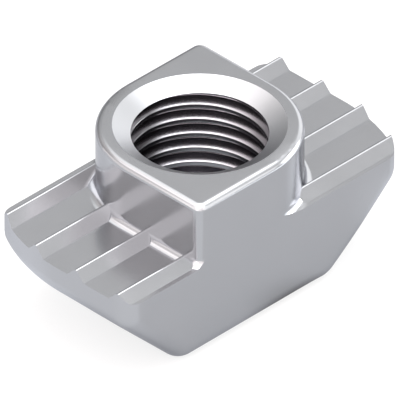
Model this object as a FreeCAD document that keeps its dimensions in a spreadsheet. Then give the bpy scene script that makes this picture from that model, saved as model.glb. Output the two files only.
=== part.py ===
"""T slot nut: a one-piece steel nut with a square neck and a hammer head.

The head drops into the slot lengthwise and is turned a quarter, until its two
ridged wings lie under the lips of the slot and the neck's square corners stop
against the slot's sides. Lengths are in millimetres and angles in degrees.

Frame: the origin is on the axis of the threaded hole, in the flat base.
+X runs along the head, +Z up the hole.
"""
import FreeCAD, Part
import math
import os
import Sketcher

NODE = "slot_nut"

SIZES = [
    ("head_length", 19.5, "head, end to end along the wings"),
    ("head_width", 10.0, "head and neck across, the width that enters the slot"),
    ("total_height", 8.6, "flat base to the top of the neck"),
    ("floor_height", 5.15, "flat base to the valleys between the ridges"),
    ("slope_height", 3.85, "flat base to the start of the sloped underside"),
    ("slope_angle", 45.0, "slope of the underside, from the flat base"),
    ("end_rounding", 1.2, "radius between each end and its slope"),
    ("base_rounding", 1.15, "radius between each slope and the flat base"),
    ("side_rounding", 1.0, "radius round the edges of the two long sides"),
    ("ridge_pitch", 2.8, "ridge to ridge across the wings"),
    ("ridge_count", 4, "ridges on each wing"),
    ("ridge_height", 0.52, "crest of a ridge above the valleys"),
    ("flank_angle", 45.0, "slope of a ridge's flanks, from the valley floor"),
    ("crest_radius", 0.12, "radius of a ridge's crest"),
    ("corner_radius", 0.5, "radius of the neck's two square corners"),
    ("rim_radius", 0.35, "radius round the top of the neck"),
    ("root_radius", 0.45, "hollow radius where the neck stands on the wings"),
    ("bore_diameter", 6.647, "hole across the crests of its thread"),
    ("mouth_diameter", 8.4, "countersink in the top of the neck"),
    ("foot_diameter", 7.8, "countersink in the flat base"),
    ("mouth_angle", 120.0, "whole angle of both countersinks"),
    ("overlap", 0.2, "run of one solid into the next, and of a cut past an edge"),
]

NEAR = 1e-4

document = FreeCAD.newDocument("t_slot_nut")


def fill_sheet(rows):
    """Write the sizes into a spreadsheet, one row each, with the name as alias."""
    sheet = document.addObject("Spreadsheet::Sheet", "Sizes")
    for row, (alias, value, note) in enumerate(rows, start=1):
        sheet.set(f"A{row}", note)
        sheet.set(f"B{row}", str(value))
        sheet.setAlias(f"B{row}", alias)
    document.recompute()
    return sheet


def origin_feature(role):
    """The plane or axis of the body's own origin that has this role."""
    for feature in body.Origin.OriginFeatures:
        if feature.Role == role:
            return feature
    raise ValueError(f"no origin feature has the role {role}")


def add_sketch(name, plane, offset="0"):
    """A new sketch on an origin plane, or parallel to it at an offset."""
    sketch = body.newObject("Sketcher::SketchObject", name)
    sketch.AttachmentSupport = [(origin_feature(plane), "")]
    sketch.MapMode = "FlatFace"
    if offset != "0":
        sketch.setExpression("AttachmentOffset.Base.z", offset)
        document.recompute()
    return sketch


def hold(sketch, kind, formula, value, *target):
    """A driving dimension whose value the sheet works out."""
    index = sketch.addConstraint(Sketcher.Constraint(kind, *target, value))
    sketch.setExpression(f"Constraints[{index}]", formula)


def add_polygon(sketch, corners):
    """A closed run of straight lines whose corners are pairs of sheet formulas."""
    points = [FreeCAD.Vector(work_out(x), work_out(y), 0) for x, y in corners]
    count = len(points)
    for index in range(count):
        after = (index + 1) % count
        sketch.addGeometry(Part.LineSegment(points[index], points[after]), False)
    for index in range(count):
        after = (index + 1) % count
        sketch.addConstraint(Sketcher.Constraint("Coincident", index, 2, after, 1))
    for index, (x, y) in enumerate(corners):
        hold(sketch, "DistanceX", x, points[index].x, -1, 1, index, 1)
        hold(sketch, "DistanceY", y, points[index].y, -1, 1, index, 1)


def work_out(formula):
    """The present value of a sheet formula, for a sketch's first shape."""
    value = sheet.evalExpression(formula)
    return float(getattr(value, "Value", value))


def add_arc(sketch, centre, radius, start, end):
    """An arc from one angle to another, anticlockwise, and its place in the sketch."""
    circle = Part.Circle(FreeCAD.Vector(*centre, 0), FreeCAD.Vector(0, 0, 1), radius)
    arc = Part.ArcOfCircle(circle, math.radians(start), math.radians(end))
    return sketch.addGeometry(arc, False)


def add_line(sketch, start, end):
    """A straight line and its place in the sketch."""
    line = Part.LineSegment(FreeCAD.Vector(*start, 0), FreeCAD.Vector(*end, 0))
    return sketch.addGeometry(line, False)


def add_feature(kind, name, **properties):
    """A feature of the body with its properties set, as the body's new tip."""
    feature = body.newObject(f"PartDesign::{kind}", name)
    for key, value in properties.items():
        setattr(feature, key, value)
    body.Tip = feature
    return feature


def settle(feature, grows):
    """Recompute, and make sure that the feature added or removed material."""
    before = 0.0 if body.Shape.isNull() else body.Shape.Volume
    document.recompute()
    change = body.Shape.Volume - before
    if abs(change) < NEAR or (change > 0) != grows:
        raise RuntimeError(f"{feature.Name} changed the volume by {change:.5f}")


def round_edges(name, radius, test):
    """Round every edge of the tip whose points all pass the test."""
    base = body.Tip
    names = []
    for number, edge in enumerate(base.Shape.Edges, start=1):
        if all(test(point) for point in edge.discretize(5)):
            names.append(f"Edge{number}")
    fillet = add_feature("Fillet", name, Base=(base, names))
    fillet.setExpression("Radius", f"<<Sizes>>.{radius}")
    settle(fillet, grows=False)


def half_turn_copy(name, original, grows):
    """The feature once more, half a turn round the hole."""
    pattern = add_feature("PolarPattern", name, Originals=[original])
    pattern.Axis = (origin_feature("Z_Axis"), [""])
    pattern.Angle = 360
    pattern.Occurrences = 2
    settle(pattern, grows)


def same(a, b):
    """Two lengths that agree to within rounding."""
    return abs(a - b) < NEAR


sheet = fill_sheet(SIZES)
size = {alias: sheet.get(alias) for alias, value, note in SIZES}
body = document.addObject("PartDesign::Body", "SlotNut")
body.Label = NODE

# Formulas that more than one sketch uses.
HALF_LENGTH = "<<Sizes>>.head_length / 2"
HALF_WIDTH = "<<Sizes>>.head_width / 2"
SLOPE = "tan(<<Sizes>>.slope_angle * 1deg)"
# The flat base always runs a little past the long sides, so the turned quarters miss them.
WIDE_BASE = ("<<Sizes>>.head_width / 2 + <<Sizes>>.overlap"
             " + <<Sizes>>.base_rounding * tan(<<Sizes>>.slope_angle / 2 * 1deg)")
HALF_BASE = f"max({HALF_LENGTH} - <<Sizes>>.slope_height / {SLOPE}; {WIDE_BASE})"
SLOPE_TOP = f"({HALF_LENGTH} - {HALF_BASE}) * {SLOPE}"
APEX = ("(<<Sizes>>.floor_height + <<Sizes>>.ridge_height"
        " + <<Sizes>>.crest_radius * (1 / cos(<<Sizes>>.flank_angle * 1deg) - 1))")
BLANK_TOP = f"{APEX} + <<Sizes>>.overlap"


def make_head():
    """The head as a solid bar with sloped ends, still with a flat top."""
    sketch = add_sketch("HeadProfile", "XZ_Plane")
    add_polygon(sketch, [
        (f"-({HALF_BASE})", "0"),
        (HALF_BASE, "0"),
        (HALF_LENGTH, SLOPE_TOP),
        (HALF_LENGTH, BLANK_TOP),
        (f"-({HALF_LENGTH})", BLANK_TOP),
        (f"-({HALF_LENGTH})", SLOPE_TOP),
    ])
    pad = add_feature("Pad", "HeadBlank", Profile=sketch, Midplane=True)
    pad.setExpression("Length", "<<Sizes>>.head_width")
    settle(pad, grows=True)


def turn_corners():
    """Two opposite quarters of the head turned round, so that it can swing in the slot."""
    sketch = add_sketch("TurnedProfile", "XZ_Plane")
    reach = f"sqrt(({HALF_LENGTH})^2 + ({HALF_WIDTH})^2) + <<Sizes>>.overlap"
    add_polygon(sketch, [
        (HALF_BASE, "0"),
        (reach, "0"),
        (reach, f"{BLANK_TOP} + <<Sizes>>.overlap"),
        (HALF_LENGTH, f"{BLANK_TOP} + <<Sizes>>.overlap"),
        (HALF_LENGTH, SLOPE_TOP),
    ])
    groove = add_feature("Groove", "TurnedQuarter", Profile=sketch)
    groove.ReferenceAxis = (origin_feature("Z_Axis"), [""])
    groove.Angle = 90
    groove.Reversed = True
    settle(groove, grows=False)
    half_turn_copy("TurnedQuarters", groove, grows=False)


def round_head():
    """The long radii under each end, then the radius round both long sides."""
    half_length = size["head_length"] / 2
    half_width = size["head_width"] / 2
    slope_top = work_out(SLOPE_TOP)
    base_reach = work_out(HALF_BASE)
    top = work_out(BLANK_TOP)

    def at_reach(point, reach):
        """On the straight end or on the turned quarter at this distance out."""
        straight = same(abs(point.x), reach)
        turned = same(math.hypot(point.x, point.y), reach)
        return straight or turned

    round_edges("EndRounding", "end_rounding",
                lambda point: same(point.z, slope_top) and at_reach(point, half_length))
    round_edges("BaseRounding", "base_rounding",
                lambda point: same(point.z, 0) and at_reach(point, base_reach))
    round_edges("SideRounding", "side_rounding",
                lambda point: same(abs(point.y), half_width) and point.z < top - NEAR)


def cut_ridges():
    """Valleys along the wings, one more than the ridges, and a radius on each crest."""
    start = "(-<<Sizes>>.ridge_count / 2 * <<Sizes>>.ridge_pitch)"
    flank = f"({APEX} - <<Sizes>>.floor_height) / tan(<<Sizes>>.flank_angle * 1deg)"
    floor_half = f"(<<Sizes>>.ridge_pitch / 2 - {flank})"
    mouth_half = "<<Sizes>>.ridge_pitch / 2"
    sketch = add_sketch("ValleyProfile", "YZ_Plane")
    add_polygon(sketch, [
        (f"{start} - {floor_half}", "<<Sizes>>.floor_height"),
        (f"{start} + {floor_half}", "<<Sizes>>.floor_height"),
        (f"{start} + {mouth_half}", APEX),
        (f"{start} + {mouth_half} + <<Sizes>>.overlap", f"{BLANK_TOP} + <<Sizes>>.overlap"),
        (f"{start} - {mouth_half} - <<Sizes>>.overlap", f"{BLANK_TOP} + <<Sizes>>.overlap"),
        (f"{start} - {mouth_half}", APEX),
    ])
    pocket = add_feature("Pocket", "Valley", Profile=sketch, Midplane=True)
    pocket.setExpression("Length", "<<Sizes>>.head_length + <<Sizes>>.overlap")
    settle(pocket, grows=False)
    pattern = add_feature("LinearPattern", "Valleys", Originals=[pocket])
    pattern.Direction = (origin_feature("Y_Axis"), [""])
    pattern.setExpression("Length", "<<Sizes>>.ridge_count * <<Sizes>>.ridge_pitch")
    pattern.setExpression("Occurrences", "<<Sizes>>.ridge_count + 1")
    settle(pattern, grows=False)
    apex = work_out(APEX)
    round_edges("CrestRounding", "crest_radius", lambda point: same(point.z, apex))


def join_smoothly(sketch, run, turned, corners):
    """Join a run of lines and arcs in line with each other, and hold the arcs' radii."""
    for before, after in zip(run, run[1:]):
        sketch.addConstraint(Sketcher.Constraint("Tangent", before, 2, after, 1))
    for arc in turned:
        sketch.addConstraint(Sketcher.Constraint("Coincident", arc, 3, -1, 1))
        hold(sketch, "Radius", HALF_WIDTH, size["head_width"] / 2, arc)
    for arc in corners:
        hold(sketch, "Radius", "<<Sizes>>.corner_radius", size["corner_radius"], arc)


def raise_neck():
    """The neck: square, with two opposite corners turned to the width of the slot."""
    half = size["head_width"] / 2
    inner = half - size["corner_radius"]
    sketch = add_sketch("NeckOutline", "XY_Plane", "<<Sizes>>.floor_height - <<Sizes>>.overlap")
    front = add_line(sketch, (-inner, -half), (0, -half))
    front_turned = add_arc(sketch, (0, 0), half, -90, 0)
    right = add_line(sketch, (half, 0), (half, inner))
    back_corner = add_arc(sketch, (inner, inner), half - inner, 0, 90)
    back = add_line(sketch, (inner, half), (0, half))
    back_turned = add_arc(sketch, (0, 0), half, 90, 180)
    left = add_line(sketch, (-half, 0), (-half, -inner))
    front_corner = add_arc(sketch, (-inner, -inner), half - inner, 180, 270)
    run = [front, front_turned, right, back_corner, back, back_turned, left, front_corner, front]
    join_smoothly(sketch, run, [front_turned, back_turned], [back_corner, front_corner])
    for line in (front, back):
        sketch.addConstraint(Sketcher.Constraint("Horizontal", line))
    for line in (right, left):
        sketch.addConstraint(Sketcher.Constraint("Vertical", line))
    pad = add_feature("Pad", "Neck", Profile=sketch)
    pad.setExpression("Length", "<<Sizes>>.total_height - <<Sizes>>.floor_height"
                                " + <<Sizes>>.overlap")
    settle(pad, grows=True)


def hollow_root():
    """The hollow radius round the foot of the neck, trimmed flush with the long sides."""
    half = size["head_width"] / 2
    inner = half - size["corner_radius"]
    root = size["root_radius"]
    over = size["overlap"]
    floor = size["floor_height"]
    path = add_sketch("RootPath", "XY_Plane", "<<Sizes>>.floor_height")
    turned = add_arc(path, (0, 0), half, 90, 180)
    side = add_line(path, (-half, 0), (-half, -inner))
    corner = add_arc(path, (-inner, -inner), half - inner, 180, 270)
    join_smoothly(path, [turned, side, corner], [turned], [corner])
    path.addConstraint(Sketcher.Constraint("Vertical", side))
    path.addConstraint(Sketcher.Constraint("PointOnObject", turned, 1, -2))

    section = add_sketch("RootSection", "YZ_Plane")
    hollow = add_arc(section, (half + root, floor + root), root, 180, 270)
    foot = add_line(section, (half + root, floor), (half + root, floor - over))
    under = add_line(section, (half + root, floor - over), (half - over, floor - over))
    inside = add_line(section, (half - over, floor - over), (half - over, floor + root))
    top = add_line(section, (half - over, floor + root), (half, floor + root))
    ring = [hollow, foot, under, inside, top, hollow]
    for before, after in zip(ring, ring[1:]):
        section.addConstraint(Sketcher.Constraint("Coincident", before, 2, after, 1))
    hold(section, "Radius", "<<Sizes>>.root_radius", root, hollow)
    hold(section, "DistanceX", f"{HALF_WIDTH} + <<Sizes>>.root_radius", half + root, -1, 1, hollow, 3)
    hold(section, "DistanceY", "<<Sizes>>.floor_height + <<Sizes>>.root_radius", floor + root,
         -1, 1, hollow, 3)
    section.addConstraint(Sketcher.Constraint("Vertical", foot))
    section.addConstraint(Sketcher.Constraint("Horizontal", under))
    section.addConstraint(Sketcher.Constraint("Vertical", inside))
    section.addConstraint(Sketcher.Constraint("Horizontal", top))
    section.addConstraint(Sketcher.Constraint("Horizontal", hollow, 3, hollow, 1))
    section.addConstraint(Sketcher.Constraint("Vertical", hollow, 3, hollow, 2))
    hold(section, "DistanceX", f"{HALF_WIDTH} - <<Sizes>>.overlap", half - over, -1, 1, inside, 1)
    hold(section, "DistanceY", "<<Sizes>>.floor_height - <<Sizes>>.overlap", floor - over,
         -1, 1, inside, 1)
    pipe = add_feature("AdditivePipe", "Root", Profile=section)
    pipe.Spine = (path, ["Edge1", "Edge2", "Edge3"])
    settle(pipe, grows=True)
    half_turn_copy("Roots", pipe, grows=True)

    trim = add_sketch("SideTrim", "XY_Plane")
    reach = f"{HALF_WIDTH} + <<Sizes>>.root_radius + <<Sizes>>.overlap"
    add_polygon(trim, [
        (f"-({reach})", HALF_WIDTH),
        (reach, HALF_WIDTH),
        (reach, reach),
        (f"-({reach})", reach),
    ])
    pocket = add_feature("Pocket", "SideTrimmed", Profile=trim, Reversed=True)
    pocket.Type = "ThroughAll"
    settle(pocket, grows=False)
    half_turn_copy("SidesTrimmed", pocket, grows=False)


def round_rim():
    """The radius round the top of the neck."""
    top = size["total_height"]
    round_edges("RimRounding", "rim_radius", lambda point: same(point.z, top))


def bore_hole():
    """The hole, plain at the crests of its thread, countersunk at both ends."""
    rise = "tan(<<Sizes>>.mouth_angle / 2 * 1deg)"
    wall = "<<Sizes>>.bore_diameter / 2"
    mouth = "<<Sizes>>.mouth_diameter / 2"
    foot = "<<Sizes>>.foot_diameter / 2"
    sketch = add_sketch("BoreSection", "XZ_Plane")
    add_polygon(sketch, [
        ("0", "0"),
        (foot, "0"),
        (wall, f"({foot} - {wall}) / {rise}"),
        (wall, f"<<Sizes>>.total_height - ({mouth} - {wall}) / {rise}"),
        (mouth, "<<Sizes>>.total_height"),
        ("0", "<<Sizes>>.total_height"),
    ])
    groove = add_feature("Groove", "Bore", Profile=sketch)
    groove.ReferenceAxis = (origin_feature("Z_Axis"), [""])
    groove.Angle = 360
    settle(groove, grows=False)


def check_document():
    """Stop if any object failed, or if the nut isn't one sound solid."""
    for item in document.Objects:
        if "Invalid" in item.State or "Error" in item.State:
            raise RuntimeError(f"{item.Name} failed: {item.State}")
    shape = body.Shape
    if shape.isNull() or not shape.isValid() or len(shape.Solids) != 1:
        raise RuntimeError("the nut is not one valid solid")


STEPS = [make_head, turn_corners, round_head, cut_ridges, raise_neck, hollow_root, round_rim,
         bore_hole]
for step in STEPS:
    step()
check_document()
os.makedirs("parts", exist_ok=True)
body.Shape.exportStep(f"parts/{NODE}.step")
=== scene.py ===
"""Looks of a T slot nut: bright plated steel with a cut thread, in a plain pale studio."""

import logging
import math
from dataclasses import dataclass, field
from enum import Enum

import bmesh
import bpy
from mathutils import Matrix, Vector

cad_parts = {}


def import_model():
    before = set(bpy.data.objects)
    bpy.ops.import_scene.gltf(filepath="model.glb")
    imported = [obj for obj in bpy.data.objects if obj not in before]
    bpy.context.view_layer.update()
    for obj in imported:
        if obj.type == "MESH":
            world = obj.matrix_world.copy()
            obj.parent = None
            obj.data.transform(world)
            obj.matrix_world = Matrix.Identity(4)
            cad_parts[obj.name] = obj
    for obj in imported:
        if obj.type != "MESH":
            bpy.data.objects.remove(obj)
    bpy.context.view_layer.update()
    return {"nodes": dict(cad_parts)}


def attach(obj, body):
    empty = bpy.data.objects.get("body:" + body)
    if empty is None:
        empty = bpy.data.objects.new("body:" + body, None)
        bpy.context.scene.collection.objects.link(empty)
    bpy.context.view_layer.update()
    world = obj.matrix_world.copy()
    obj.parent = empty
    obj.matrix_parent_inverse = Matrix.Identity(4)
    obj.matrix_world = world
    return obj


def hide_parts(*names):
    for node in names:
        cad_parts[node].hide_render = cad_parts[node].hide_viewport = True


LOG = logging.getLogger("slot_nut")

MM = 0.001
WELD_DISTANCE = 0.0001 * MM
ANGLE_SLACK = 1e-6

Colour = tuple[float, float, float]
Place = tuple[float, float, float]
Socket = bpy.types.NodeSocket

WHITE: Colour = (1.0, 1.0, 1.0)
THIN_ZINC: Colour = (0.395, 0.40, 0.415)
THICK_ZINC: Colour = (0.425, 0.43, 0.445)
GRAZING_TINT: Colour = (0.72, 0.72, 0.74)


class Finish(Enum):
    """The finishes of the nut, by their place in its material list."""

    PLATED = 0
    TURNED = 1
    THREADED = 2


class Frame(Enum):
    """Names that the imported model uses."""

    NODE = "slot_nut"
    BODY = "root"
    SLOT = "steel"


@dataclass
class Nodes:
    """A shader node tree and short ways to fill it.

    Attributes:
        tree: The tree that the nodes are added to.
    """

    tree: bpy.types.NodeTree

    def add(self, kind: str, **settings: object) -> bpy.types.Node:
        """Add a node.

        Args:
            kind: Blender's name for the node.
            settings: Properties of the node, by name.

        Returns:
            The new node.
        """
        node = self.tree.nodes.new(kind)
        for name, value in settings.items():
            setattr(node, name, value)
        return node

    def link(self, source: Socket, target: Socket) -> None:
        """Join two sockets."""
        self.tree.links.new(source, target)

    def place(self) -> Socket:
        """Place on the object, in metres."""
        return self.add("ShaderNodeTexCoord").outputs["Object"]

    def split(self, vector: Socket) -> bpy.types.NodeOutputs:
        """Take a vector apart.

        Args:
            vector: The socket that holds it.

        Returns:
            Sockets for its X, Y and Z.
        """
        node = self.add("ShaderNodeSeparateXYZ")
        self.link(vector, node.inputs[0])
        return node.outputs

    def math(self, operation: str, *values: float | Socket) -> Socket:
        """Work out one sum.

        Args:
            operation: The Math node's operation.
            values: Its inputs, each a number or a socket.

        Returns:
            The socket that holds the result.
        """
        node = self.add("ShaderNodeMath", operation=operation)
        for socket, value in zip(node.inputs, values):
            if isinstance(value, Socket):
                self.link(value, socket)
            else:
                socket.default_value = value
        return node.outputs[0]

    def halved(self, value: Socket) -> Socket:
        """Bring a value from the range of -1 to 1 into that of 0 to 1."""
        return self.math("ADD", self.math("MULTIPLY", value, 0.5), 0.5)

    def cosine(self, vector: Socket, direction: Vector) -> Socket:
        """Cosine of the angle between a vector and a fixed direction.

        Args:
            vector: The socket that holds the vector, of length one.
            direction: The direction, of length one.

        Returns:
            The socket that holds the result.
        """
        node = self.add("ShaderNodeVectorMath", operation="DOT_PRODUCT")
        self.link(vector, node.inputs[0])
        node.inputs[1].default_value = direction
        return node.outputs["Value"]

    def smooth_step(self, value: Socket, start: float, end: float,
                    low: float = 0.0, high: float = 1.0) -> Socket:
        """Go smoothly from one number to another.

        Args:
            value: The socket that decides.
            start: Its value where the result is low.
            end: Its value where the result is high.
            low: The result at the start and before it.
            high: The result at the end and past it.

        Returns:
            The socket that holds the result.
        """
        node = self.add("ShaderNodeMapRange", interpolation_type="SMOOTHSTEP")
        self.link(value, node.inputs["Value"])
        node.inputs["From Min"].default_value = start
        node.inputs["From Max"].default_value = end
        node.inputs["To Min"].default_value = low
        node.inputs["To Max"].default_value = high
        return node.outputs["Result"]

    def mix(self, factor: Socket, first: Colour | Socket, second: Colour | Socket) -> Socket:
        """Mix two colours.

        Args:
            factor: The socket with the share of the second colour.
            first: A colour, or the socket that holds it.
            second: The other colour, or its socket.

        Returns:
            The socket that holds the result.
        """
        node = self.add("ShaderNodeMix", data_type="RGBA")
        self.link(factor, node.inputs["Factor"])
        for name, colour in (("A", first), ("B", second)):
            if isinstance(colour, Socket):
                self.link(colour, node.inputs[name])
            else:
                node.inputs[name].default_value = (*colour, 1.0)
        return node.outputs["Result"]


@dataclass(frozen=True)
class Effects:
    """Node groups that the finishes of the nut share.

    Attributes:
        fine_detail: Octaves of the plating's fine noise.
        fine_weight: Weight of each finer octave in it.
        cloud_detail: Octaves of the wide noise under it.
        cloud_scale: Scale of the wide noise, as a share of the fine one's.
    """

    fine_detail: float = 4.0
    fine_weight: float = 0.6
    cloud_detail: float = 2.0
    cloud_scale: float = 0.18

    def group(self, name: str, inputs: tuple[str, ...],
              outputs: tuple[str, ...]) -> bpy.types.NodeTree:
        """Make an empty node group.

        Args:
            name: Its name.
            inputs: Names of the numbers that it takes.
            outputs: Names of the numbers that it gives.

        Returns:
            The new group.
        """
        group = bpy.data.node_groups.new(name, "ShaderNodeTree")
        for in_out, names in (("INPUT", inputs), ("OUTPUT", outputs)):
            for each in names:
                group.interface.new_socket(each, in_out=in_out, socket_type="NodeSocketFloat")
        return group

    def grain(self) -> bpy.types.NodeTree:
        """Fine unevenness of a plated surface.

        Returns:
            A group with inputs Scale, Base and Spread, and outputs Roughness,
            Tone and Height.
        """
        group = self.group("Plating grain", ("Scale", "Base", "Spread"),
                           ("Roughness", "Tone", "Height"))
        nodes = Nodes(group)
        inputs = nodes.add("NodeGroupInput").outputs
        outputs = nodes.add("NodeGroupOutput").inputs
        place = nodes.place()
        fine = nodes.add("ShaderNodeTexNoise")
        fine.inputs["Detail"].default_value = self.fine_detail
        fine.inputs["Roughness"].default_value = self.fine_weight
        nodes.link(place, fine.inputs["Vector"])
        nodes.link(inputs["Scale"], fine.inputs["Scale"])
        clouds = nodes.add("ShaderNodeTexNoise")
        clouds.inputs["Detail"].default_value = self.cloud_detail
        nodes.link(place, clouds.inputs["Vector"])
        nodes.link(nodes.math("MULTIPLY", inputs["Scale"], self.cloud_scale),
                   clouds.inputs["Scale"])
        lean = nodes.math("SUBTRACT", clouds.outputs["Fac"], 0.5)
        spread = nodes.math("MULTIPLY", lean, inputs["Spread"])
        nodes.link(nodes.math("ADD", inputs["Base"], spread), outputs["Roughness"])
        nodes.link(nodes.halved(lean), outputs["Tone"])
        nodes.link(fine.outputs["Fac"], outputs["Height"])
        return group

    def turning(self) -> bpy.types.NodeTree:
        """Fine rings that a cutting tool leaves round the hole.

        Returns:
            A group with the input Pitch, in metres, and the output Height.
        """
        group = self.group("Turning marks", ("Pitch",), ("Height",))
        nodes = Nodes(group)
        inputs = nodes.add("NodeGroupInput").outputs
        outputs = nodes.add("NodeGroupOutput").inputs
        place = nodes.split(nodes.place())
        square = nodes.math("ADD", nodes.math("POWER", place["X"], 2.0),
                            nodes.math("POWER", place["Y"], 2.0))
        reach = nodes.math("ADD", nodes.math("SQRT", square), place["Z"])
        turns = nodes.math("DIVIDE", reach, inputs["Pitch"])
        wave = nodes.math("SINE", nodes.math("MULTIPLY", turns, 2 * math.pi))
        nodes.link(nodes.halved(wave), outputs["Height"])
        return group


@dataclass(frozen=True)
class PaintedThreadShade:
    """Painted shade in the thread: darker deep in the groove and away from one side of the
    hole.

    Attributes:
        colour: Colour of the painted shade deep in the groove.
        bright_radius: Distance from the axis where the painted shade starts.
        dark_radius: Distance where the painted shade is darkest.
        unshaded_side: Direction from the axis of the side that is left brightest.
        narrow: Cosine of the angle from that side where it is still bright.
        wide: Cosine of the angle where it is darkest.
        darkest: Share of its colour that the steel keeps there, in the painted shade.
    """

    colour: Colour
    bright_radius: float
    dark_radius: float
    unshaded_side: Place
    narrow: float
    wide: float
    darkest: float

    def paint_shade(self, nodes: Nodes, unshaded_colour: Socket) -> Socket:
        """Paint shade onto a colour: darker deep in the groove and away from one side of the
        hole.

        Args:
            nodes: The material's node tree.
            unshaded_colour: The colour of the steel without the painted shade.

        Returns:
            The darkened colour.
        """
        flat = nodes.add("ShaderNodeVectorMath", operation="MULTIPLY")
        nodes.link(nodes.place(), flat.inputs[0])
        flat.inputs[1].default_value = (1.0, 1.0, 0.0)
        reach = nodes.add("ShaderNodeVectorMath", operation="LENGTH")
        nodes.link(flat.outputs["Vector"], reach.inputs[0])
        # Painted shade: darker deeper in the groove, away from the crests.
        groove_shade = nodes.smooth_step(reach.outputs["Value"], self.bright_radius, self.dark_radius)
        groove_shaded = nodes.mix(groove_shade, unshaded_colour, self.colour)
        outwards = nodes.add("ShaderNodeVectorMath", operation="NORMALIZE")
        nodes.link(flat.outputs["Vector"], outwards.inputs[0])
        # Painted shade: darker on the sides of the hole away from one direction.
        facing = nodes.cosine(outwards.outputs["Vector"], Vector(self.unshaded_side).normalized())
        scaled = nodes.add("ShaderNodeVectorMath", operation="SCALE")
        nodes.link(groove_shaded, scaled.inputs[0])
        nodes.link(nodes.smooth_step(facing, self.wide, self.narrow, low=self.darkest),
                   scaled.inputs["Scale"])
        return scaled.outputs["Vector"]


@dataclass(frozen=True)
class Steel:
    """Plated steel, smooth or with the marks of the tool that turned it.

    Attributes:
        name: Name of the material.
        roughness: Mean roughness.
        grain_depth: Height of the fine noise, in metres.
        grain_scale: Scale of the fine noise, per metre.
        spread: How far the roughness strays from its mean.
        ring_depth: Height of the turning marks, in metres, or nought for none.
        ring_pitch: Distance between them, in metres.
        painted_shade: Painted shade on it, if any.
    """

    name: str
    roughness: float
    grain_depth: float
    grain_scale: float = 2500.0
    spread: float = 0.04
    ring_depth: float = 0.0
    ring_pitch: float = 0.06 * MM
    painted_shade: PaintedThreadShade | None = None

    def material(self, grain: bpy.types.NodeTree,
                 turning: bpy.types.NodeTree) -> bpy.types.Material:
        """Make the material.

        Args:
            grain: The group with the plating's unevenness.
            turning: The group with the turning marks.

        Returns:
            The new material.
        """
        material = bpy.data.materials.new(self.name)
        material.use_nodes = True
        nodes = Nodes(material.node_tree)
        shader = material.node_tree.nodes["Principled BSDF"]
        shader.inputs["Metallic"].default_value = 1.0
        shader.inputs["Specular Tint"].default_value = (*GRAZING_TINT, 1.0)
        fine = nodes.add("ShaderNodeGroup", node_tree=grain)
        fine.inputs["Scale"].default_value = self.grain_scale
        fine.inputs["Base"].default_value = self.roughness
        fine.inputs["Spread"].default_value = self.spread
        colour = nodes.mix(fine.outputs["Tone"], THIN_ZINC, THICK_ZINC)
        # Painted shade, where the material has it: darker in the thread's grooves and towards
        # its sides.
        if self.painted_shade:
            colour = self.painted_shade.paint_shade(nodes, colour)
        nodes.link(colour, shader.inputs["Base Color"])
        nodes.link(fine.outputs["Roughness"], shader.inputs["Roughness"])
        bump = nodes.add("ShaderNodeBump")
        bump.inputs["Distance"].default_value = self.grain_depth
        nodes.link(fine.outputs["Height"], bump.inputs["Height"])
        if self.ring_depth:
            rings = nodes.add("ShaderNodeGroup", node_tree=turning)
            rings.inputs["Pitch"].default_value = self.ring_pitch
            marks = nodes.add("ShaderNodeBump")
            marks.inputs["Distance"].default_value = self.ring_depth
            nodes.link(rings.outputs["Height"], marks.inputs["Height"])
            nodes.link(marks.outputs["Normal"], bump.inputs["Normal"])
        nodes.link(bump.outputs["Normal"], shader.inputs["Normal"])
        return material


# Painted shade for the thread: darker deep in the grooves and towards the sides, brightest
# towards +X +Y.
THREAD_PAINTED_SHADE = PaintedThreadShade(colour=(0.36, 0.34, 0.37), bright_radius=3.26 * MM, dark_radius=3.46 * MM,
                 unshaded_side=(0.75, 0.66, 0.0), narrow=0.97, wide=0.6, darkest=0.42)

FINISHES = {
    Finish.PLATED: Steel("Bright plated steel", roughness=0.19, grain_depth=0.0012 * MM),
    Finish.TURNED: Steel("Turned plated steel", roughness=0.3, grain_depth=0.001 * MM,
                         ring_depth=0.0012 * MM),
    Finish.THREADED: Steel("Thread with painted shade", roughness=0.21, grain_depth=0.001 * MM,
                           painted_shade=THREAD_PAINTED_SHADE),
}


@dataclass
class Rim:
    """One open end of the hole's wall.

    Attributes:
        vertices: Its vertices, in order round it.
        edges: Its edges.
    """

    vertices: list[bmesh.types.BMVert]
    edges: list[bmesh.types.BMEdge]


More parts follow.
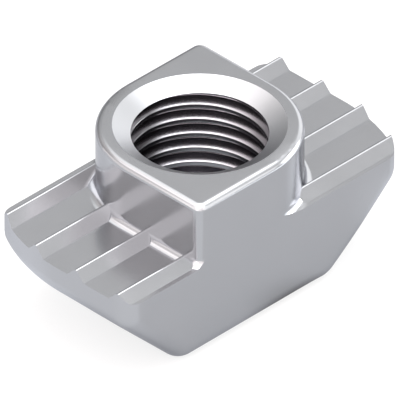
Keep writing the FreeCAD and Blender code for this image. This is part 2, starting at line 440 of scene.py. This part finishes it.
@dataclass
class Thread:
    """The screw thread in the hole, cut outwards from the wall at its crests.

    Lengths are in metres. Places across the groove are shares of one pitch, with
    the root at 0.5.

    Attributes:
        crest_radius: Radius of the wall, where the crests stay.
        pitch: Advance in one turn.
        columns: Vertices in one turn.
        rows: Vertices across one groove.
        start: Share of a turn by which the groove's start is swung.
        flank_start: Distance from the root's middle to where a flank meets the crest.
        flank_run: Width of one flank.
        run_out: Length over which the groove shallows out at either end.
        margin: Gap between its last vertices and the wall's ends.
        softness: How far the edges of the crest and root are rounded, as a share of a flank.
    """

    crest_radius: float = 3.3235 * MM
    pitch: float = 0.84 * MM
    columns: int = 96
    rows: int = 48
    start: float = 0.59
    flank_start: float = 0.375
    flank_run: float = 0.3125
    run_out: float = 0.06 * MM
    margin: float = 0.02 * MM
    softness: float = 0.06

    @property
    def depth(self) -> float:
        """Depth of the groove, five eighths of its sharp triangle's height."""
        return 0.625 * self.pitch * math.cos(math.radians(30))

    def groove(self, phase: float) -> float:
        """Share of the full depth at one place across the groove.

        Args:
            phase: The place, from 0 to 1.

        Returns:
            0 on the crest, 1 at the root.
        """
        ramp = (self.flank_start - abs(phase - 0.5)) / self.flank_run
        soft = self.softness
        if ramp < soft:
            return max(0.0, ramp + soft) ** 2 / (4 * soft)
        if ramp > 1 - soft:
            return 1 - max(0.0, 1 + soft - ramp) ** 2 / (4 * soft)
        return ramp

    def radius(self, row: int, height: float, low: float, high: float) -> float:
        """Distance from the axis of one vertex.

        Args:
            row: The vertex's row, counted along the helix.
            height: Its height.
            low: Height of the wall's lower end.
            high: Height of the wall's upper end.

        Returns:
            The radius, in metres.
        """
        near_end = min(height - low, high - height) / self.run_out
        share = min(1.0, max(0.0, near_end))
        fade = share * share * (3 - 2 * share)
        return self.crest_radius + self.depth * self.groove(row / self.rows % 1.0) * fade

    def vertices(self, shape: bmesh.types.BMesh, low: float,
                 high: float) -> dict[tuple[int, int], bmesh.types.BMVert]:
        """Make the threaded wall's vertices.

        Args:
            shape: The mesh that gets them.
            low: Height of the wall's lower end.
            high: Height of the wall's upper end.

        Returns:
            The vertices by row, counted along the helix, and column.
        """
        spare_turns = 2
        lowest = math.floor(low / self.pitch - spare_turns) * self.rows
        highest = math.ceil(high / self.pitch + spare_turns) * self.rows
        grid = {}
        for column in range(self.columns):
            turn = column / self.columns
            angle = 2 * math.pi * turn
            for row in range(lowest, highest):
                height = (row / self.rows + turn + self.start) * self.pitch
                if low + self.margin < height < high - self.margin:
                    radius = self.radius(row, height, low, high)
                    grid[row, column] = shape.verts.new(
                        (radius * math.cos(angle), radius * math.sin(angle), height))
        return grid

    def build(self, shape: bmesh.types.BMesh, low_rim: Rim, high_rim: Rim) -> None:
        """Join the two open ends of the hole with the threaded wall.

        Args:
            shape: The mesh that gets the thread.
            low_rim: The lower open end.
            high_rim: The upper open end.
        """
        grid = self.vertices(shape, low_rim.vertices[0].co.z, high_rim.vertices[0].co.z)
        made = []
        for row, column in grid:
            beside = (row, column + 1) if column + 1 < self.columns else (row + self.rows, 0)
            corners = [(row, column), beside, (beside[0] + 1, beside[1]), (row + 1, column)]
            if all(corner in grid for corner in corners):
                made.append(shape.faces.new([grid[corner] for corner in corners]))
        edges = {edge for face in made for edge in face.edges if edge.is_boundary}
        loops = sorted(walk(edges), key=lambda loop: loop[0].co.z)
        made += zip_rings(shape, low_rim.vertices, loops[0])
        made += zip_rings(shape, loops[-1], high_rim.vertices)
        for face in made:
            face.material_index = Finish.THREADED.value
            face.smooth = True


def walk(edges: set[bmesh.types.BMEdge]) -> list[list[bmesh.types.BMVert]]:
    """Sort edges into closed loops.

    Args:
        edges: Edges that form separate closed loops.

    Returns:
        One list of vertices for each loop, in order round it.
    """
    left = set(edges)
    loops = []
    while left:
        edge = left.pop()
        first, vertex = edge.verts
        loop = [first]
        while vertex is not first:
            loop.append(vertex)
            edge = next(other for other in vertex.link_edges if other in left)
            left.remove(edge)
            vertex = edge.other_vert(vertex)
        loops.append(loop)
    return loops


def unrolled(ring: list[bmesh.types.BMVert]) -> list[tuple[float, bmesh.types.BMVert]]:
    """Go once round a ring anticlockwise, from its lowest angle.

    Args:
        ring: Vertices in order round the Z axis.

    Returns:
        Pairs of angle and vertex, the first one repeated a turn on.
    """
    angles = [math.atan2(vertex.co.y, vertex.co.x) % (2 * math.pi) for vertex in ring]
    steps = sum(1 for a, b in zip(angles, angles[1:]) if b > a)
    if steps < len(ring) / 2:
        ring, angles = ring[::-1], angles[::-1]
    first = min(range(len(ring)), key=lambda index: (angles[index], index))
    while first > 0 and abs(angles[first - 1] - angles[first]) < ANGLE_SLACK:
        first -= 1
    order = [(first + step) % len(ring) for step in range(len(ring))]
    turned = [(angles[index], ring[index]) for index in order]
    return turned + [(turned[0][0] + 2 * math.pi, turned[0][1])]


def zip_rings(shape: bmesh.types.BMesh, lower: list[bmesh.types.BMVert],
              upper: list[bmesh.types.BMVert]) -> list[bmesh.types.BMFace]:
    """Fill the band between two rings with triangles.

    Args:
        shape: The mesh that gets the triangles.
        lower: Vertices round the band's lower edge.
        upper: Vertices round its upper edge.

    Returns:
        The new faces.
    """
    below, above = unrolled(lower), unrolled(upper)
    faces = []
    i = j = 0
    while i + 1 < len(below) or j + 1 < len(above):
        upper_done = j + 1 == len(above)
        step_below = upper_done or (
            i + 1 < len(below) and below[i + 1][0] <= above[j + 1][0])
        if step_below:
            corners = (below[i][1], below[i + 1][1], above[j][1])
            i += 1
        else:
            corners = (below[i][1], above[j + 1][1], above[j][1])
            j += 1
        faces.append(shape.faces.new(corners))
    return faces


@dataclass
class SlotNut:
    """The nut: its packed form with the thread cut into the plain hole.

    Attributes:
        source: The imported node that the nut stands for.
        thread: The thread in its hole.
        mouth_radius: Radius of the countersink at the top.
        mouth_slack: How far past it a vertex of the countersink may lie.
        wall_slack: How far a vertex of the hole's wall may lie off its radius.
        upright: Faces of the wall have less Z than this in their normal.
        level: Flat faces have more Z than this in their normal.
        sharp_angle: Edges that turn more than this stay sharp.
    """

    source: bpy.types.Object
    thread: Thread
    mouth_radius: float = 4.2 * MM
    mouth_slack: float = 0.001 * MM
    wall_slack: float = 0.003 * MM
    upright: float = 0.1
    level: float = 0.95
    sharp_angle: float = math.radians(26)

    def build(self) -> bpy.types.Object:
        """Make the nut's mesh and put it in the scene.

        Returns:
            The new object.
        """
        shape = bmesh.new()
        shape.from_mesh(self.source.data)
        bmesh.ops.remove_doubles(shape, verts=shape.verts, dist=WELD_DISTANCE)
        low_rim, high_rim = self.open_hole(shape)
        for face in shape.faces:
            face.smooth = True
            face.material_index = self.finish(face).value
        for edge in shape.edges:
            if edge.is_manifold and edge.calc_face_angle() > self.sharp_angle:
                edge.smooth = False
        for edge in low_rim.edges + high_rim.edges:
            edge.smooth = False
        self.thread.build(shape, low_rim, high_rim)
        bmesh.ops.recalc_face_normals(shape, faces=shape.faces)
        mesh = bpy.data.meshes.new("threaded_nut")
        shape.to_mesh(mesh)
        shape.free()
        nut = bpy.data.objects.new("threaded_nut", mesh)
        bpy.context.scene.collection.objects.link(nut)
        weighted = nut.modifiers.new("Even shading", "WEIGHTED_NORMAL")
        weighted.keep_sharp = True
        return nut

    def finish(self, face: bmesh.types.BMFace) -> Finish:
        """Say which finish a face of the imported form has.

        Args:
            face: The face.

        Returns:
            TURNED in the countersinks and PLATED everywhere else.
        """
        reach = max(math.hypot(vertex.co.x, vertex.co.y) for vertex in face.verts)
        inside = reach < self.mouth_radius + self.mouth_slack
        leans = self.upright < abs(face.normal.z) < self.level
        return Finish.TURNED if inside and leans else Finish.PLATED

    def open_hole(self, shape: bmesh.types.BMesh) -> list[Rim]:
        """Take the plain wall out of the hole.

        Args:
            shape: The nut's mesh, closed.

        Returns:
            The lower and the upper open end.
        """
        def on_wall(vertex: bmesh.types.BMVert) -> bool:
            """Whether the vertex lies on the hole's wall."""
            reach = math.hypot(vertex.co.x, vertex.co.y)
            return abs(reach - self.thread.crest_radius) < self.wall_slack

        wall = [face for face in shape.faces
                if all(map(on_wall, face.verts)) and abs(face.normal.z) < self.upright]
        bmesh.ops.delete(shape, geom=wall, context="FACES")
        open_edges = {edge for edge in shape.edges if edge.is_boundary}
        loops = sorted(walk(open_edges), key=lambda loop: loop[0].co.z)
        return [Rim(loop, [edge for edge in open_edges if edge.verts[0] in loop])
                for loop in loops]

    def dress(self, nut: bpy.types.Object) -> None:
        """Give the nut its finishes, one for each entry of Finish.

        Args:
            nut: The nut's object.
        """
        effects = Effects()
        grain, turning = effects.grain(), effects.turning()
        for finish in Finish:
            nut.data.materials.append(FINISHES[finish].material(grain, turning))

    def seat(self, nut: bpy.types.Object) -> None:
        """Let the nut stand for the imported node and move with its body.

        Args:
            nut: The nut's object.
        """
        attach(nut, Frame.BODY.value)
        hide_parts(Frame.NODE.value)


@dataclass(frozen=True)
class Window:
    """A soft bright or dark patch of the room that the nut stands in.

    Attributes:
        azimuth: Direction of its middle, in degrees anticlockwise from +X.
        elevation: Height of its middle above the horizon, in degrees.
        level: Light that it adds, below nought for a dark patch.
        inner: Angle from its middle inside which it is full, in degrees.
        outer: Angle from its middle where it ends, in degrees.
    """

    azimuth: float
    elevation: float
    level: float
    inner: float
    outer: float

    @property
    def towards(self) -> Vector:
        """Direction of its middle from the nut.

        Returns:
            The direction, of length one.
        """
        around, up = math.radians(self.azimuth), math.radians(self.elevation)
        level = math.cos(up)
        return Vector((level * math.cos(around), level * math.sin(around), math.sin(up)))

    def light(self, nodes: Nodes, outwards: Socket) -> Socket:
        """Light that the window adds in each direction.

        Args:
            nodes: The world's node tree.
            outwards: The socket that holds the direction.

        Returns:
            The socket that holds the light.
        """
        edge, full = (math.cos(math.radians(angle)) for angle in (self.outer, self.inner))
        share = nodes.smooth_step(nodes.cosine(outwards, self.towards), edge, full)
        return nodes.math("MULTIPLY", share, self.level)


@dataclass(frozen=True)
class Room:
    """A pale room with a bright ceiling, white to the camera.

    Attributes:
        heights: Its brightness, from straight down, 0, to straight up, 1.
        windows: Patches that brighten or darken it.
        cool_side: X of a direction where its light is still white.
        warm_side: X of a direction where its light is fully warm.
        warm_light: Colour of the warm light.
    """

    heights: tuple[tuple[float, float], ...] = (
        (0.0, 1.0), (0.49, 1.0), (0.5, 0.67), (0.65, 0.67), (0.7, 0.8), (0.75, 0.86),
        (0.81, 0.87), (0.835, 1.68), (0.855, 1.74), (0.9, 2.05), (1.0, 3.2))
    windows: tuple[Window, ...] = (
        Window(177.0, 21.0, 1.3, 27.5, 30.5),
        Window(-141.0, 21.0, 1.42, 8.0, 49.0),
        Window(11.0, 0.5, 0.96, 35.0, 37.0),
        Window(-24.5, 10.0, 4.5, 13.5, 18.0),
        Window(-75.0, 21.0, 1.47, 25.0, 29.0),
        Window(132.5, 0.5, 0.85, 23.0, 27.0),
        Window(132.0, 39.5, 0.85, 12.0, 20.0),
        Window(-22.5, 19.0, 1.9, 13.0, 17.0),
        Window(-45.0, 35.0, -0.14, 13.0, 26.0),
        Window(131.5, 31.0, -0.5, 7.0, 14.5),
        Window(-130.0, 59.5, 0.13, 17.0, 29.0),
        Window(63.0, 10.0, -0.22, 18.0, 31.0),
        Window(83.0, 32.5, 0.16, 11.5, 26.0),
        Window(19.5, 9.0, 0.45, 10.0, 21.5))
    cool_side: float = 0.25
    warm_side: float = -0.25
    warm_light: Colour = (1.045, 0.99, 0.98)

    def ramp(self, nodes: Nodes, height: Socket) -> Socket:
        """Brightness of the room without its windows.

        Args:
            nodes: The world's node tree.
            height: The socket that holds the Z of the direction.

        Returns:
            The socket that holds the brightness.
        """
        node = nodes.add("ShaderNodeValToRGB")
        elements = node.color_ramp.elements
        elements[0].position = self.heights[0][0]
        elements[1].position = self.heights[-1][0]
        for place, _ in self.heights[1:-1]:
            elements.new(place)
        brightest = max(level for _, level in self.heights)
        for element, (_, level) in zip(elements, self.heights):
            share = level / brightest
            element.color = (share, share, share, 1.0)
        nodes.link(nodes.halved(height), node.inputs["Fac"])
        return nodes.math("MULTIPLY", node.outputs["Color"], brightest)

    def build(self) -> None:
        """Make the room the world of the scene."""
        world = bpy.data.worlds.new("Pale room")
        bpy.context.scene.world = world
        world.use_nodes = True
        nodes = Nodes(world.node_tree)
        background = world.node_tree.nodes["Background"]
        outwards = nodes.add("ShaderNodeTexCoord").outputs["Generated"]
        direction = nodes.split(outwards)
        light = self.ramp(nodes, direction["Z"])
        for window in self.windows:
            light = nodes.math("ADD", light, window.light(nodes, outwards))
        camera = nodes.add("ShaderNodeLightPath").outputs["Is Camera Ray"]
        strength = nodes.add("ShaderNodeMix", data_type="FLOAT")
        nodes.link(camera, strength.inputs["Factor"])
        nodes.link(nodes.math("MAXIMUM", light, 0.0), strength.inputs["A"])
        strength.inputs["B"].default_value = 1.0
        nodes.link(strength.outputs["Result"], background.inputs["Strength"])
        warmth = nodes.smooth_step(direction["X"], self.cool_side, self.warm_side)
        unseen = nodes.math("SUBTRACT", 1.0, camera)
        cast = nodes.mix(nodes.math("MULTIPLY", warmth, unseen), WHITE, self.warm_light)
        nodes.link(cast, background.inputs["Color"])


@dataclass(frozen=True)
class Glow:
    """A round patch of the floor that looks brighter or darker in the plating.

    Attributes:
        centre: Its middle on the floor, in metres.
        level: Light that it adds, below nought for a dark patch.
        inner: Radius inside which it is full.
        outer: Radius where it ends.
    """

    centre: Place
    level: float
    inner: float
    outer: float

    def light(self, nodes: Nodes, place: Socket) -> Socket:
        """Light that the patch adds at each place.

        Args:
            nodes: The floor's node tree.
            place: The socket that holds the place.

        Returns:
            The socket that holds the light.
        """
        away = nodes.add("ShaderNodeVectorMath", operation="DISTANCE")
        nodes.link(place, away.inputs[0])
        away.inputs[1].default_value = self.centre
        return nodes.smooth_step(away.outputs["Value"], self.outer, self.inner, high=self.level)


@dataclass(frozen=True)
class Floor:
    """A floor that shows white, takes a soft shadow and looks grey in the plating.

    Attributes:
        radius: Its radius.
        sides: Number of its sides.
        grey: Brightness of its own colour, on which the shadow falls.
        glow: Light that makes it white to the camera.
        dim: Light that the plating shows in most of it.
        dim_from: X where it is still dim.
        lit: Light that the plating shows past the nut's end on the side of -X.
        lit_from: X where it is fully lit.
        cast: Colour of the light that the plating shows.
        patches: Patches that brighten or darken that light.
    """

    radius: float = 0.6
    sides: int = 96
    grey: float = 0.2
    glow: float = 0.75
    dim: float = 0.46
    dim_from: float = -6.0 * MM
    lit: float = 0.62
    lit_from: float = -9.5 * MM
    cast: Colour = (0.955, 0.997, 1.055)
    patches: tuple[Glow, ...] = (
        Glow((60.0 * MM, -42.0 * MM, 0.0), 2.5, 25.0 * MM, 45.0 * MM),
        Glow((-6.0 * MM, 10.0 * MM, 0.0), 0.2, 5.0 * MM, 11.0 * MM),
        Glow((-9.0 * MM, 4.0 * MM, 0.0), 0.2, 1.0 * MM, 5.0 * MM),
        Glow((1.5 * MM, -4.0 * MM, 0.0), -0.35, 0.5 * MM, 3.5 * MM),
        Glow((12.3 * MM, -5.0 * MM, 0.0), 0.35, 1.5 * MM, 5.5 * MM))

    def material(self) -> bpy.types.Material:
        """Make the floor's material.

        Returns:
            The new material.
        """
        material = bpy.data.materials.new("Pale floor")
        material.use_nodes = True
        nodes = Nodes(material.node_tree)
        shader = material.node_tree.nodes["Principled BSDF"]
        shader.inputs["Base Color"].default_value = (self.grey, self.grey, self.grey, 1.0)
        shader.inputs["Roughness"].default_value = 1.0
        shader.inputs["Specular IOR Level"].default_value = 0.0
        place = nodes.place()
        shown = nodes.smooth_step(nodes.split(place)["X"], self.dim_from, self.lit_from,
                                  low=self.dim, high=self.lit)
        for patch in self.patches:
            shown = nodes.math("ADD", shown, patch.light(nodes, place))
        path = nodes.add("ShaderNodeLightPath").outputs
        mirrored = nodes.math("MAXIMUM", path["Is Glossy Ray"], path["Is Transmission Ray"])
        light = nodes.math("ADD", nodes.math("MULTIPLY", path["Is Camera Ray"], self.glow),
                           nodes.math("MULTIPLY", mirrored, shown))
        nodes.link(light, shader.inputs["Emission Strength"])
        nodes.link(nodes.mix(path["Is Camera Ray"], self.cast, WHITE),
                   shader.inputs["Emission Color"])
        return material

    def build(self) -> None:
        """Lay the floor under the nut."""
        shape = bmesh.new()
        bmesh.ops.create_circle(shape, cap_ends=True, segments=self.sides, radius=self.radius)
        mesh = bpy.data.meshes.new("floor")
        shape.to_mesh(mesh)
        shape.free()
        mesh.materials.append(self.material())
        floor = bpy.data.objects.new("floor", mesh)
        bpy.context.scene.collection.objects.link(floor)


@dataclass(frozen=True)
class Lamp:
    """A square soft lamp.

    Attributes:
        name: Its name.
        place: Where it hangs, in metres.
        size: Length of its side, in metres.
        power: Its power, in watts.
    """

    name: str = "ceiling lamp"
    place: Place = (0.02, -0.01, 0.14)
    size: float = 0.12
    power: float = 0.12

    def build(self, aim: Vector) -> None:
        """Hang the lamp.

        Args:
            aim: The point that it faces.
        """
        light = bpy.data.lights.new(self.name, "AREA")
        light.size = self.size
        light.energy = self.power
        lamp = bpy.data.objects.new(self.name, light)
        lamp.location = self.place
        lamp.rotation_mode = "QUATERNION"
        lamp.rotation_quaternion = (aim - Vector(self.place)).to_track_quat("-Z", "Y")
        bpy.context.scene.collection.objects.link(lamp)


@dataclass
class Studio:
    """A pale floor and room, a soft lamp and the camera.

    Attributes:
        lens: Focal length in millimetres, long because the photograph has no perspective.
        sensor: Width of the camera's sensor, in millimetres.
        frame_width: Width of the picture at the nut.
        aim: The point at the middle of the picture.
        back: Direction from there to the camera, isometric as in the photograph.
        right: Direction of the picture's right side.
        near: Nearest distance that is drawn, as a share of the camera's distance.
        far: Farthest distance that is drawn, likewise.
    """

    lens: float = 1500.0
    sensor: float = 36.0
    frame_width: float = 19.2 * MM
    aim: Vector = field(default_factory=lambda: Vector((1.390, 1.383, 2.773)) * MM)
    back: Place = (-1.0, -1.0, 1.0)
    right: Place = (1.0, -1.0, 0.0)
    near: float = 0.1
    far: float = 3.0

    def place_camera(self) -> None:
        """Place the camera and make it the scene's own."""
        data = bpy.data.cameras.new("camera")
        data.lens = self.lens
        data.sensor_width = self.sensor
        distance = self.frame_width * self.lens / self.sensor
        data.clip_start = self.near * distance
        data.clip_end = self.far * distance
        back, right = Vector(self.back).normalized(), Vector(self.right).normalized()
        camera = bpy.data.objects.new("camera", data)
        camera.rotation_mode = "QUATERNION"
        turn = Matrix((right, back.cross(right), back)).transposed()
        camera.rotation_quaternion = turn.to_quaternion()
        camera.location = self.aim + back * distance
        bpy.context.scene.collection.objects.link(camera)
        bpy.context.scene.camera = camera

    def build(self) -> None:
        """Set up the whole studio."""
        Floor().build()
        Room().build()
        Lamp().build(self.aim)
        self.place_camera()
        bpy.context.scene.view_settings.view_transform = "Standard"


def main() -> None:
    """Build the nut and its studio."""
    logging.basicConfig(level=logging.INFO)
    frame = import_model()
    nut = SlotNut(frame["nodes"][Frame.NODE.value], Thread())
    piece = nut.build()
    nut.dress(piece)
    nut.seat(piece)
    LOG.info("%s: %d faces", piece.name, len(piece.data.polygons))
    Studio().build()
    LOG.info("studio is set up")


if __name__ == "__main__":
    main()
